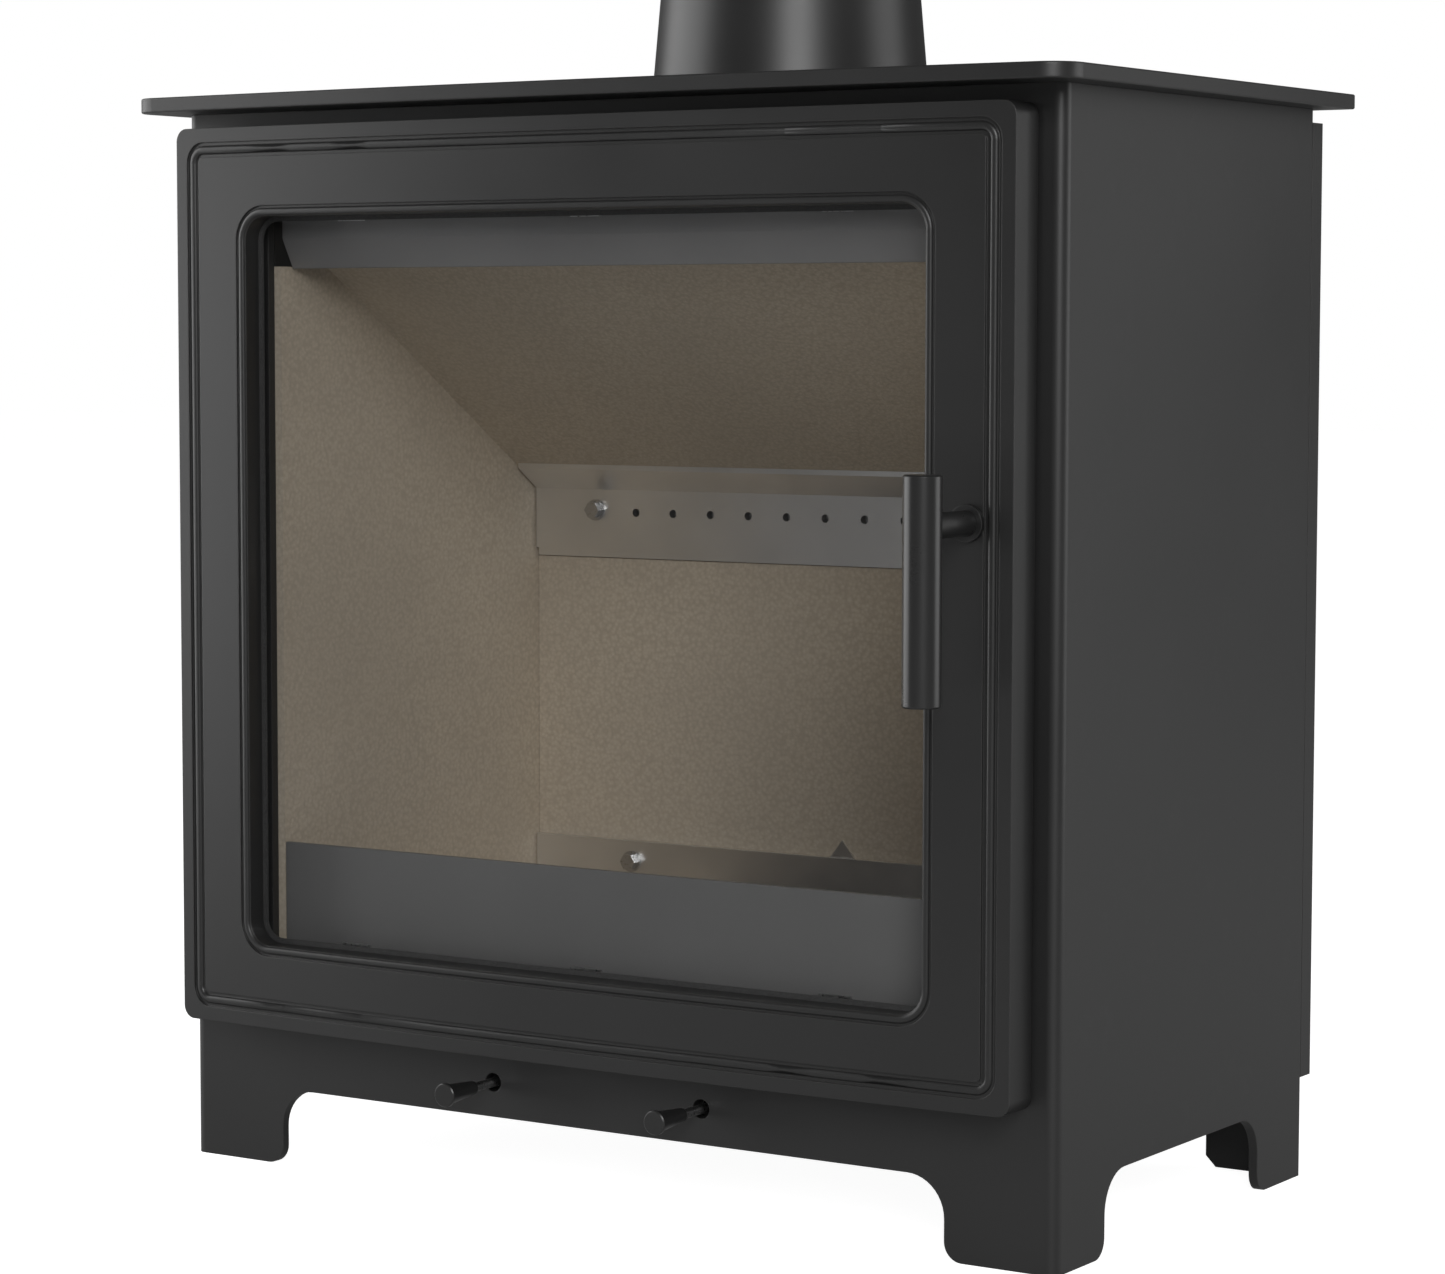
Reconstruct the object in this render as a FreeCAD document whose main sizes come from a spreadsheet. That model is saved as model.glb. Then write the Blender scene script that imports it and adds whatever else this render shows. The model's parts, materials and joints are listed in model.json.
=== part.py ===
import FreeCAD, Part
import math
import os
import Sketcher
from FreeCAD import Rotation, Vector

# Wood burning stove: bent steel body on four feet, bowed hob plate, glazed door, vermiculite firebox.
# Millimetres. +Z up, +X to the stove's right side as seen from the front, front towards -Y.
# Origin on the floor at the centre of the whole stove's footprint box.

PARAMETERS = [
    # Overall body
    ("face_y", -112.0),
    ("body_width", 540.0),
    ("body_depth", 282.0),
    ("body_height", 575.0),
    ("sheet", 5.0),
    ("bend_outer", 6.0),
    ("bend_inner", 1.0),
    ("skirt_height", 42.0),
    ("front_foot_inner", 208.0),
    ("side_foot_front", 51.5),
    ("side_foot_back", 229.0),
    ("foot_arch", 21.0),
    ("foot_toe", 10.0),
    ("toe_run", 14.0),
    ("mouth_half", 213.8),
    ("mouth_bottom", 107.0),
    ("mouth_top", 537.0),
    ("mouth_corner", 8.0),
    ("rod_hole", 5.0),
    ("control_x", 65.5),
    ("control_z", 60.5),
    ("rear_foot_inner", 217.0),
    ("rear_foot_chamfer", 6.0),
    ("rear_gap", 0.3),
    # Hob plate and flue collar
    ("plate_thick", 8.0),
    ("plate_half", 286.0),
    ("plate_front", 29.3),
    ("plate_bow", 10.5),
    ("plate_rear", 300.0),
    ("plate_corner", 17.5),
    ("plate_edge", 1.0),
    ("flue_y", 191.3),
    ("flue_bore", 64.5),
    ("flue_hole", 66.5),
    ("collar_flange", 98.0),
    ("flange_thick", 6.0),
    ("collar_base", 76.3),
    ("collar_top", 70.2),
    ("collar_height", 70.0),
    ("collar_bolt_circle", 88.0),
    # Air box and floor
    ("floor_bottom", 97.0),
    ("floor_thick", 4.0),
    ("floor_half", 264.6),
    ("floor_front", 5.4),
    ("floor_back", 276.6),
    ("grate_hole_half", 75.0),
    ("grate_hole_front", 50.0),
    ("grate_hole_back", 190.0),
    ("box_half", 150.0),
    ("box_front", 8.0),
    ("box_back", 200.0),
    ("box_bottom", 46.0),
    ("box_sheet", 2.0),
    ("inlet_half", 20.0),
    ("inlet_front", 68.0),
    ("inlet_back", 118.0),
    ("slide_half", 27.0),
    ("slide_front", 60.0),
    ("slide_back", 126.0),
    ("slide_thick", 3.0),
    ("slide_lift", 0.3),
    ("slide_tab_top", 70.0),
    ("guide_gap", 0.5),
    ("guide_width", 8.0),
    ("guide_high", 6.0),
    ("guide_front", 20.0),
    ("guide_back", 140.0),
    # Firebox lining
    ("liner_inner", 225.3),
    ("liner_thick", 3.0),
    ("liner_front", 20.0),
    ("rear_liner_y", 259.3),
    ("rear_liner_half", 224.0),
    ("duct_half", 60.0),
    ("duct_bottom", 104.0),
    ("duct_top", 366.0),
    ("duct_sheet", 2.0),
    ("duct_back", 276.4),
    ("brick_inner", 200.0),
    ("brick_thick", 25.0),
    ("brick_front", 5.5),
    ("brick_flare", 9.5),
    ("brick_back", 259.0),
    ("brick_bottom", 101.0),
    ("rear_brick_y", 234.0),
    ("rear_brick_half", 199.6),
    ("upper_brick_top", 420.0),
    ("grate_top", 126.0),
    ("grate_thick", 12.0),
    ("grate_half", 94.6),
    ("grate_slot", 9.0),
    ("grate_slot_half", 68.0),
    ("grate_pitch", 20.0),
    ("grate_first", 30.0),
    ("floor_brick_inner", 95.0),
    ("baffle_rise", 0.667),
    ("baffle_low_z", 368.0),
    ("baffle_low_y", 230.0),
    ("baffle_front", 44.0),
    ("baffle_back", 231.0),
    ("baffle_half", 224.6),
    ("baffle_depth", 30.0),
    ("guard_front", 5.5),
    ("guard_thick", 3.0),
    ("guard_half", 208.9),
    ("guard_top", 178.0),
    ("wash_front", 5.5),
    ("wash_y", 14.5),
    ("wash_bottom", 491.0),
    ("wash_top", 545.0),
    ("wash_sheet", 2.0),
    ("wash_bend", 507.0),
    ("wash_half", 208.4),
    # Secondary air bar and rear retainer
    ("bar_y", 230.0),
    ("bar_half", 198.6),
    ("bar_bottom", 330.0),
    ("bar_top", 365.0),
    ("bar_sheet", 2.5),
    ("bar_lip", 18.3),
    ("bar_box_bottom", 325.4),
    ("bar_hole", 2.4),
    ("bar_hole_pitch", 25.6),
    ("bar_hole_z", 352.0),
    ("bar_bolt_x", 156.0),
    ("bar_bolt_z", 353.0),
    ("retainer_top", 160.0),
    ("retainer_bottom", 126.4),
    ("retainer_bolt_x", 131.0),
    ("retainer_bolt_z", 148.0),
    ("tab_x", 10.5),
    ("tab_half", 8.0),
    ("tab_top", 170.0),
    ("tab_back", 233.8),
    # Heat shield
    ("shield_half", 268.0),
    ("shield_front", 287.0),
    ("shield_back", 301.0),
    ("shield_sheet", 1.5),
    ("shield_bottom", 53.0),
    ("shield_top", 568.0),
    ("spacer_x", 215.0),
    ("spacer_low", 130.0),
    ("spacer_high", 500.0),
    ("spacer_radius", 6.0),
    ("screw_head", 2.4),
    # Door
    ("door_half", 257.0),
    ("door_bottom", 80.7),
    ("door_top", 566.0),
    ("door_back", 2.5),
    ("door_edge", 24.5),
    ("door_bow", 6.5),
    ("door_corner", 7.0),
    ("glass_half", 209.0),
    ("glass_low", 125.5),
    ("glass_high", 518.4),
    ("glass_corner", 13.0),
    ("bead_outer_half", 249.5),
    ("bead_outer_low", 88.3),
    ("bead_outer_high", 558.4),
    ("bead_corner", 11.0),
    ("bead_zone", 8.2),
    ("bead_width", 4.6),
    ("bead_sink", 1.3),
    ("bead_rise", 0.4),
    ("inner_zone", 5.6),
    ("inner_groove", 1.4),
    ("inner_step", 0.3),
    ("rebate_half", 215.0),
    ("rebate_low", 119.5),
    ("rebate_high", 524.5),
    ("rebate_depth", 14.5),
    ("rope_x", 223.0),
    ("rope_low", 98.0),
    ("rope_high", 546.0),
    ("rope_radius", 3.9),
    ("rope_centre", 4.2),
    ("rope_bend", 16.0),
    ("channel_half", 4.1),
    ("channel_depth", 8.3),
    ("glass_front", 13.0),
    ("glass_thick", 4.0),
    ("glass_margin", 0.6),
    ("gasket_inner", 206.4),
    ("gasket_low", 128.1),
    ("gasket_high", 515.8),
    ("clip_x", 150.0),
    ("clip_half", 9.0),
    ("clip_reach", 9.0),
    ("clip_base", 14.0),
    ("clip_thick", 1.5),
    ("clip_screw", 2.0),
    # Hinges
    ("pivot_x", -250.0),
    ("pivot_y", 13.0),
    ("hinge_low", 165.0),
    ("hinge_high", 482.0),
    ("knuckle_radius", 5.5),
    ("knuckle_half", 15.0),
    ("knuckle_arm", 3.0),
    ("pin_radius", 3.0),
    ("pin_bore", 3.3),
    ("pin_half", 26.0),
    ("pocket_half", 16.0),
    ("pocket_right", -243.2),
    ("pocket_front", 19.6),
    # Handle and latch
    ("stem_x", 233.3),
    ("stem_z", 366.0),
    ("stem_radius", 6.25),
    ("grip_y", 70.0),
    ("grip_radius", 9.4),
    ("grip_bottom", 281.0),
    ("grip_top", 390.4),
    ("grip_edge", 0.8),
    ("washer_back", 26.3),
    ("washer_front", 28.8),
    ("washer_radius", 9.0),
    ("spindle_radius", 4.9),
    ("spindle_bore", 5.2),
    ("thread_radius", 3.0),
    ("thread_end", 19.5),
    ("tongue_front", 8.5),
    ("tongue_back", 13.5),
    ("tongue_half", 5.0),
    ("tongue_low", 7.0),
    ("tongue_high", 18.0),
    ("slot_half", 6.5),
    ("slot_low", 10.0),
    ("slot_high", 27.0),
    ("nut_flats", 9.0),
    ("keeper_gap", 1.0),
    ("keeper_thick", 1.5),
    # Air controls
    ("knob_face", 44.0),
    ("knob_neck", 18.5),
    ("knob_radius", 6.3),
    ("knob_rim", 2.0),
    ("knob_waist", 5.4),
    ("knob_tail", 3.6),
    ("rod_radius", 2.5),
    ("rod_end", 90.0),
]

AXLES = {"X": Rotation(Vector(0, 1, 0), 90), "Y": Rotation(Vector(1, 0, 0), -90), "Z": Rotation()}


class Dim:
    """A number together with the sheet expression that produces it."""

    def __init__(self, value, text):
        self.value = value
        self.text = text

    def __add__(self, other):
        return combine(self, other, "+", lambda a, b: a + b)

    def __radd__(self, other):
        return combine(other, self, "+", lambda a, b: a + b)

    def __sub__(self, other):
        return combine(self, other, "-", lambda a, b: a - b)

    def __rsub__(self, other):
        return combine(other, self, "-", lambda a, b: a - b)

    def __mul__(self, other):
        return combine(self, other, "*", lambda a, b: a * b)

    def __rmul__(self, other):
        return combine(other, self, "*", lambda a, b: a * b)

    def __truediv__(self, other):
        return combine(self, other, "/", lambda a, b: a / b)

    def __neg__(self):
        return combine(0.0, self, "-", lambda a, b: a - b)


def dim(item):
    if isinstance(item, Dim):
        return item
    return Dim(float(item), "(%s)" % float(item))


def combine(left, right, sign, rule):
    left = dim(left)
    right = dim(right)
    return Dim(rule(left.value, right.value), "(%s %s %s)" % (left.text, sign, right.text))


def make_sheet(doc):
    sheet = doc.addObject("Spreadsheet::Sheet", "Sizes")
    sizes = {}
    for row, (name, value) in enumerate(PARAMETERS, start=1):
        sheet.set("A%d" % row, name)
        sheet.set("B%d" % row, str(value))
        sheet.setAlias("B%d" % row, name)
        sizes[name] = Dim(value, "Sizes.%s" % name)
    return sizes


doc = FreeCAD.newDocument("Stove")
S = make_sheet(doc)
doc.recompute()
FRONT = S["face_y"]
NODES = []


def depth(item):
    """Y of a plane a stated distance behind the body's front face."""
    return FRONT + item


def bind(target, prop, item):
    target.setExpression(prop, dim(item).text)


# Sketch helpers


def new_body(name):
    return doc.addObject("PartDesign::Body", name)


def new_sketch(body, role, offset):
    """Sketch on one origin plane, moved along the plane's normal: XY is +Z, XZ is -Y and YZ is +X."""
    sketch = body.newObject("Sketcher::SketchObject", body.Name + "_sketch")
    plane = [item for item in body.Origin.OriginFeatures if item.Role == role][0]
    sketch.AttachmentSupport = [(plane, "")]
    sketch.MapMode = "FlatFace"
    bind(sketch, "AttachmentOffset.Base.z", offset)
    return sketch


def hold(sketch, kind, where, item):
    """Add one driving dimension and tie it to the sheet."""
    item = dim(item)
    index = sketch.addConstraint(Sketcher.Constraint(kind, *where, item.value))
    sketch.setExpression("Constraints[%d]" % index, item.text)


def hold_point(sketch, geometry, position, x, y):
    hold(sketch, "DistanceX", (-1, 1, geometry, position), x)
    hold(sketch, "DistanceY", (-1, 1, geometry, position), y)


def corner_arc(before, corner, after, radius):
    """Tangent points, arc and turn direction of one rounded corner."""
    toward = (before - corner).normalize()
    away = (after - corner).normalize()
    half = toward.getAngle(away) / 2
    first = corner + toward * (radius / math.tan(half))
    last = corner + away * (radius / math.tan(half))
    middle = corner + (toward + away).normalize() * (radius / math.sin(half))
    left_turn = (corner - before).cross(after - corner).z > 0
    start, end = (first, last) if left_turn else (last, first)
    angles = [math.atan2(p.y - middle.y, p.x - middle.x) for p in (start, end)]
    circle = Part.Circle(middle, Vector(0, 0, 1), radius)
    return first, last, Part.ArcOfCircle(circle, angles[0], angles[1]), left_turn


def outline(sketch, corners):
    """Closed outline from (x, y, radius) corners; radius 0 keeps the corner sharp."""
    corners = [(dim(x), dim(y), dim(r)) for x, y, r in corners]
    points = [Vector(x.value, y.value, 0) for x, y, _ in corners]
    count = len(points)
    ends = []
    for i, (_, _, radius) in enumerate(corners):
        if radius.value > 0:
            ends.append(corner_arc(points[i - 1], points[i], points[(i + 1) % count], radius.value))
        else:
            ends.append((points[i], points[i], None, True))
    lines = []
    for i in range(count):
        lines.append(sketch.addGeometry(Part.LineSegment(ends[i][1], ends[(i + 1) % count][0])))
    for i, (x, y, radius) in enumerate(corners):
        arc, left_turn = ends[i][2], ends[i][3]
        before, after = lines[i - 1], lines[i]
        if arc is None:
            sketch.addConstraint(Sketcher.Constraint("Coincident", before, 2, after, 1))
            hold_point(sketch, after, 1, x, y)
            continue
        spot = sketch.addGeometry(Part.Point(points[i]), True)
        hold_point(sketch, spot, 1, x, y)
        sketch.addConstraint(Sketcher.Constraint("PointOnObject", spot, 1, before))
        sketch.addConstraint(Sketcher.Constraint("PointOnObject", spot, 1, after))
        bend = sketch.addGeometry(arc)
        first, last = (1, 2) if left_turn else (2, 1)
        sketch.addConstraint(Sketcher.Constraint("Tangent", before, 2, bend, first))
        sketch.addConstraint(Sketcher.Constraint("Tangent", after, 1, bend, last))
        hold(sketch, "Radius", (bend,), radius)


def rectangle(sketch, low_x, high_x, low_y, high_y, radius=0.0):
    corners = [(low_x, low_y), (high_x, low_y), (high_x, high_y), (low_x, high_y)]
    outline(sketch, [(x, y, radius) for x, y in corners])


def circle(sketch, x, y, radius):
    radius = dim(radius)
    centre = Vector(dim(x).value, dim(y).value, 0)
    index = sketch.addGeometry(Part.Circle(centre, Vector(0, 0, 1), radius.value))
    hold_point(sketch, index, 3, x, y)
    hold(sketch, "Radius", (index,), radius)


def bowed(sketch, half, back, front, bow):
    """Plan outline with a straight back and a front edge that swells forward by bow in the middle."""
    half, back, front, bow = dim(half), dim(back), dim(front), dim(bow)
    radius = (half * half + bow * bow) / (bow * 2)
    middle = Vector(0, front.value - bow.value + radius.value, 0)
    reach = math.atan2(half.value, middle.y - front.value)
    arc = Part.ArcOfCircle(Part.Circle(middle, Vector(0, 0, 1), radius.value),
                           -math.pi / 2 - reach, -math.pi / 2 + reach)
    places = [(-half.value, front.value), (-half.value, back.value), (half.value, back.value),
              (half.value, front.value)]
    ends = [Vector(x, y, 0) for x, y in places]
    curve = sketch.addGeometry(arc)
    left, rear, right = [sketch.addGeometry(Part.LineSegment(ends[i], ends[i + 1])) for i in range(3)]
    for pair in ((curve, 1, left, 1), (left, 2, rear, 1), (rear, 2, right, 1), (right, 2, curve, 2)):
        sketch.addConstraint(Sketcher.Constraint("Coincident", *pair))
    hold_point(sketch, left, 1, -half, front)
    hold_point(sketch, left, 2, -half, back)
    hold_point(sketch, rear, 2, half, back)
    hold_point(sketch, right, 2, half, front)
    hold(sketch, "Radius", (curve,), radius)


# Feature helpers


def feature(body, kind, sketch, length, reverse):
    item = body.newObject("PartDesign::" + kind, body.Name + "_" + kind)
    item.Profile = sketch
    item.Type = "Length"
    bind(item, "Length", length)
    item.Reversed = reverse
    body.Tip = item
    return item


def pad(body, sketch, length, reverse=False):
    return feature(body, "Pad", sketch, length, reverse)


def pocket(body, sketch, length, reverse=False):
    doc.recompute()
    before = body.Shape.Volume
    item = feature(body, "Pocket", sketch, length, reverse)
    doc.recompute()
    if body.Shape.Volume > before - 1e-3:
        raise RuntimeError("%s: a pocket removed nothing" % body.Name)
    return item


def keep(item, name):
    """Mark one object as a finished node."""
    item.Label = name
    NODES.append(item)
    return item


def slab(name, role, offset, length, draw, reverse=False):
    """Body made of one padded sketch; draw fills the sketch."""
    body = new_body(name)
    sketch = new_sketch(body, role, offset)
    draw(sketch)
    pad(body, sketch, length, reverse)
    return body


def block(name, low, high):
    """Rectangular block between two corners."""
    x0, y0, z0 = [dim(item) for item in low]
    x1, y1, z1 = [dim(item) for item in high]
    return slab(name, "XY_Plane", z0, z1 - z0, lambda sketch: rectangle(sketch, x0, x1, y0, y1))


def cylinder(name, axis, radius, start, length):
    """Plain cylinder along one axis from its start point."""
    item = doc.addObject("Part::Cylinder", name)
    bind(item, "Radius", radius)
    bind(item, "Height", length)
    place(item, axis, start)
    return item


def hexagon(name, axis, flats, start, length):
    item = doc.addObject("Part::Prism", name)
    item.Polygon = 6
    bind(item, "Circumradius", dim(flats) / math.sqrt(3))
    bind(item, "Height", length)
    place(item, axis, start)
    return item


def place(item, axis, start):
    item.Placement.Rotation = AXLES[axis]
    for letter, value in zip("xyz", start):
        bind(item, "Placement.Base." + letter, value)


def fuse(name, items):
    joined = doc.addObject("Part::MultiFuse", name)
    joined.Shapes = items
    joined.Refine = True
    return joined


def join(name, first, second):
    item = doc.addObject("Part::Fuse", name)
    item.Base = first
    item.Tool = second
    item.Refine = False
    return item


def cut(name, base, tool):
    item = doc.addObject("Part::Cut", name)
    item.Base = base
    item.Tool = tool
    return item


def common(name, first, second):
    item = doc.addObject("Part::MultiCommon", name)
    item.Shapes = [first, second]
    return item


def gather(name, items):
    group = doc.addObject("Part::Compound", name)
    group.Links = items
    return group


def turned(name, axis_x, axis_z, profile):
    """Solid of revolution about an axis along Y; profile lists (distance behind the face, radius)."""
    body = new_body(name)
    sketch = new_sketch(body, "XY_Plane", axis_z)
    outline(sketch, [(axis_x + radius, depth(y), 0.0) for y, radius in profile])
    return revolve(body, sketch)


def revolve(body, sketch):
    """Turn a sketch once around the line that closes it, its last edge."""
    last = max(i for i, item in enumerate(sketch.Geometry) if isinstance(item, Part.LineSegment))
    line = sketch.Geometry[last]
    sketch.addGeometry(Part.LineSegment(line.StartPoint, line.EndPoint), True)
    extra = len(sketch.Geometry) - 1
    sketch.addConstraint(Sketcher.Constraint("Coincident", extra, 1, last, 1))
    sketch.addConstraint(Sketcher.Constraint("Coincident", extra, 2, last, 2))
    item = body.newObject("PartDesign::Revolution", body.Name + "_Revolution")
    item.Profile = sketch
    item.ReferenceAxis = (sketch, ["Axis0"])
    item.Angle = 360
    body.Tip = item
    return body


def edges_near(shape, test):
    """Names of the edges whose middle point passes the test."""
    names = []
    for index, edge in enumerate(shape.Edges, start=1):
        middle = edge.valueAt((edge.FirstParameter + edge.LastParameter) / 2)
        if test(middle, edge):
            names.append("Edge%d" % index)
    return names


def round_edges(body, radius, test):
    doc.recompute()
    names = edges_near(body.Shape, test)
    tip = body.Tip
    item = body.newObject("PartDesign::Fillet", body.Name + "_Fillet")
    item.Base = (tip, names)
    bind(item, "Radius", radius)
    body.Tip = item
    doc.recompute()
    return item


# Body shell


def foot_arch(low, high):
    """Cut-out between two feet with arched shoulders and rounded toes, along one panel."""
    below = -S["toe_run"]
    run = S["toe_run"]
    top, arch, toe = S["skirt_height"], S["foot_arch"], S["foot_toe"]
    return [(low - run, below, 0), (high + run, below, 0), (high + run, 0.0, 0), (high, 0.0, toe),
            (high, top, arch), (low, top, arch), (low, 0.0, toe), (low - run, 0.0, 0)]


def make_body_wrap():
    body = new_body("body_wrap")
    plan = new_sketch(body, "XY_Plane", 0.0)
    outer, back = S["body_width"] / 2, depth(S["body_depth"])
    inner, front = outer - S["sheet"], depth(S["sheet"])
    outline(plan, [(-outer, back, 0), (-outer, FRONT, S["bend_outer"]), (outer, FRONT, S["bend_outer"]),
                   (outer, back, 0), (inner, back, 0), (inner, front, S["bend_inner"]),
                   (-inner, front, S["bend_inner"]), (-inner, back, 0)])
    pad(body, plan, S["body_height"])
    front_cuts = new_sketch(body, "XZ_Plane", -FRONT)
    rectangle(front_cuts, -S["mouth_half"], S["mouth_half"], S["mouth_bottom"], S["mouth_top"],
              S["mouth_corner"])
    outline(front_cuts, foot_arch(-S["front_foot_inner"], S["front_foot_inner"]))
    for side in (-1, 1):
        circle(front_cuts, S["control_x"] * side, S["control_z"], S["rod_hole"])
    rectangle(front_cuts, S["stem_x"] - S["slot_half"], S["stem_x"] + S["slot_half"],
              S["stem_z"] - S["slot_low"], S["stem_z"] + S["slot_high"], 1.5)
    pocket(body, front_cuts, S["sheet"])
    side_cuts = new_sketch(body, "YZ_Plane", outer)
    outline(side_cuts, foot_arch(depth(S["side_foot_front"]), depth(S["side_foot_back"])))
    pocket(body, side_cuts, S["body_width"])
    return keep(body, "body_wrap")


def make_rear_panel():
    half = S["body_width"] / 2 - S["sheet"] - S["rear_gap"]
    foot, bevel, top = S["rear_foot_inner"], S["rear_foot_chamfer"], S["skirt_height"]

    def draw(sketch):
        outline(sketch, [(-half, 0.0, 0), (-foot - bevel, 0.0, 0), (-foot, bevel, 0), (-foot, top, 6.0),
                         (foot, top, 6.0), (foot, bevel, 0), (foot + bevel, 0.0, 0), (half, 0.0, 0),
                         (half, S["body_height"], 0), (-half, S["body_height"], 0)])

    body = slab("rear_panel", "XZ_Plane", -depth(S["body_depth"]), S["sheet"], draw)
    return keep(body, "rear_panel")


def make_top_plate():
    body = new_body("top_plate")
    plan = new_sketch(body, "XY_Plane", S["body_height"])
    bowed(plan, S["plate_half"], depth(S["plate_rear"]), depth(-S["plate_front"]), S["plate_bow"])
    circle(plan, 0.0, depth(S["flue_y"]), S["flue_hole"])
    pad(body, plan, S["plate_thick"])
    front = depth(-S["plate_front"]).value
    round_edges(body, S["plate_corner"], lambda p, e: abs(e.tangentAt(e.FirstParameter).z) > 0.99
                and abs(p.y - front) < 1 and abs(p.x) > 280)
    low, high = S["body_height"].value, (S["body_height"] + S["plate_thick"]).value
    centre = Vector(0, depth(S["flue_y"]).value, 0)
    round_edges(body, S["plate_edge"], lambda p, e: (abs(p.z - low) < 0.01 or abs(p.z - high) < 0.01)
                and Vector(p.x, p.y, 0).distanceToPoint(centre) > 80)
    return keep(body, "top_plate")


def make_flue_collar():
    body = new_body("flue_collar")
    section = new_sketch(body, "YZ_Plane", 0.0)
    axis, floor = depth(S["flue_y"]), S["body_height"] + S["plate_thick"]
    top = floor + S["collar_height"]
    outline(section, [(axis + S["flue_bore"], floor, 0), (axis + S["collar_base"], floor, 0),
                      (axis + S["collar_top"], top, 1.2), (axis + S["flue_bore"], top, 1.2)])
    spine = section.addGeometry(Part.LineSegment(Vector(axis.value, 0, 0), Vector(axis.value, 100, 0)), True)
    hold_point(section, spine, 1, axis, 0.0)
    hold_point(section, spine, 2, axis, 100.0)
    item = body.newObject("PartDesign::Revolution", "flue_collar_Revolution")
    item.Profile = section
    item.ReferenceAxis = (section, ["Axis%d" % construction_index(section, spine)])
    item.Angle = 360
    body.Tip = item
    return keep(body, "flue_collar")


def make_collar_flange():
    axis, floor = depth(S["flue_y"]), S["body_height"] + S["plate_thick"]
    disc = cylinder("flange_disc", "Z", S["collar_flange"], (0.0, axis, floor), S["flange_thick"])
    eye = cylinder("flange_eye", "Z", S["collar_base"] + 0.3, (0.0, axis, floor - 1.0), S["flange_thick"] + 2.0)
    keep(cut("collar_flange", disc, eye), "collar_flange")


def construction_index(sketch, geometry):
    """Position of one construction line among the sketch's construction lines."""
    lines = [i for i, item in enumerate(sketch.Geometry)
             if isinstance(item, Part.LineSegment) and sketch.getConstruction(i)]
    return lines.index(geometry)


def make_collar_bolts():
    z = S["body_height"] + S["plate_thick"] + S["flange_thick"]
    spread = S["collar_bolt_circle"] * math.sqrt(0.5)
    heads = []
    for i, (side, end) in enumerate(((-1, -1), (1, -1), (1, 1), (-1, 1))):
        spot = (spread * side, depth(S["flue_y"]) + spread * end)
        washer = cylinder("collar_washer_%d" % i, "Z", 7.5, spot + (z,), 1.2)
        head = hexagon("collar_head_%d" % i, "Z", 11.0, spot + (z + 1.2,), 4.4)
        heads.append(fuse("collar_bolt_%d" % i, [washer, head]))
    return keep(gather("collar_bolts", heads), "collar_bolts")


# Air box and floor


def make_floor_plate():
    def draw(sketch):
        rectangle(sketch, -S["floor_half"], S["floor_half"], depth(S["floor_front"]), depth(S["floor_back"]))
        rectangle(sketch, -S["grate_hole_half"], S["grate_hole_half"], depth(S["grate_hole_front"]),
                  depth(S["grate_hole_back"]))
        rectangle(sketch, -S["duct_half"] + 4.0, S["duct_half"] - 4.0, depth(266.0), depth(274.0))

    return keep(slab("floor_plate", "XY_Plane", S["floor_bottom"], S["floor_thick"], draw), "floor_plate")


def make_air_box():
    body = new_body("air_box")
    shell = new_sketch(body, "XY_Plane", S["box_bottom"])
    rectangle(shell, -S["box_half"], S["box_half"], depth(S["box_front"]), depth(S["box_back"]))
    pad(body, shell, S["floor_bottom"] - S["box_bottom"])
    wall = S["box_sheet"]
    hollow = new_sketch(body, "XY_Plane", S["floor_bottom"])
    for side in (-1, 1):
        near, far = sorted((wall / 2 * side, (S["box_half"] - wall) * side), key=lambda item: item.value)
        rectangle(hollow, near, far, depth(S["box_front"] + wall), depth(S["box_back"] - wall))
    pocket(body, hollow, S["floor_bottom"] - S["box_bottom"] - wall)
    inlets = new_sketch(body, "XY_Plane", S["box_bottom"] + wall)
    for side in (-1, 1):
        rectangle(inlets, S["control_x"] * side - S["inlet_half"], S["control_x"] * side + S["inlet_half"],
                  depth(S["inlet_front"]), depth(S["inlet_back"]), 3.0)
    pocket(body, inlets, wall)
    rods = new_sketch(body, "XZ_Plane", -depth(S["box_front"]))
    for side in (-1, 1):
        circle(rods, S["control_x"] * side, S["control_z"], S["rod_hole"] - 1.0)
    pocket(body, rods, wall)
    return keep(body, "air_box")


def make_slide_guides(side, name):
    floor = S["box_bottom"] + S["box_sheet"]
    gap = S["slide_half"] + S["guide_gap"]
    rails = []
    for hand in (-1, 1):
        near = S["control_x"] * side + gap * hand
        far = near + S["guide_width"] * hand
        low, high = sorted((near, far), key=lambda item: item.value)
        rails.append(block("%s_rail_%d" % (name, hand + 1), (low, depth(S["guide_front"]), floor),
                           (high, depth(S["guide_back"]), floor + S["guide_high"])))
    return keep(gather(name, rails), name)


# Firebox lining


def baffle_z(y):
    """Height of the sloping board's underside at a distance behind the face."""
    return S["baffle_low_z"] + S["baffle_rise"] * (S["baffle_low_y"] - y)


def floor_front():
    """Front of the grate and the floor bricks, just behind the log guard."""
    return depth(S["guard_front"] + S["guard_thick"] + 0.4)


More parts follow.
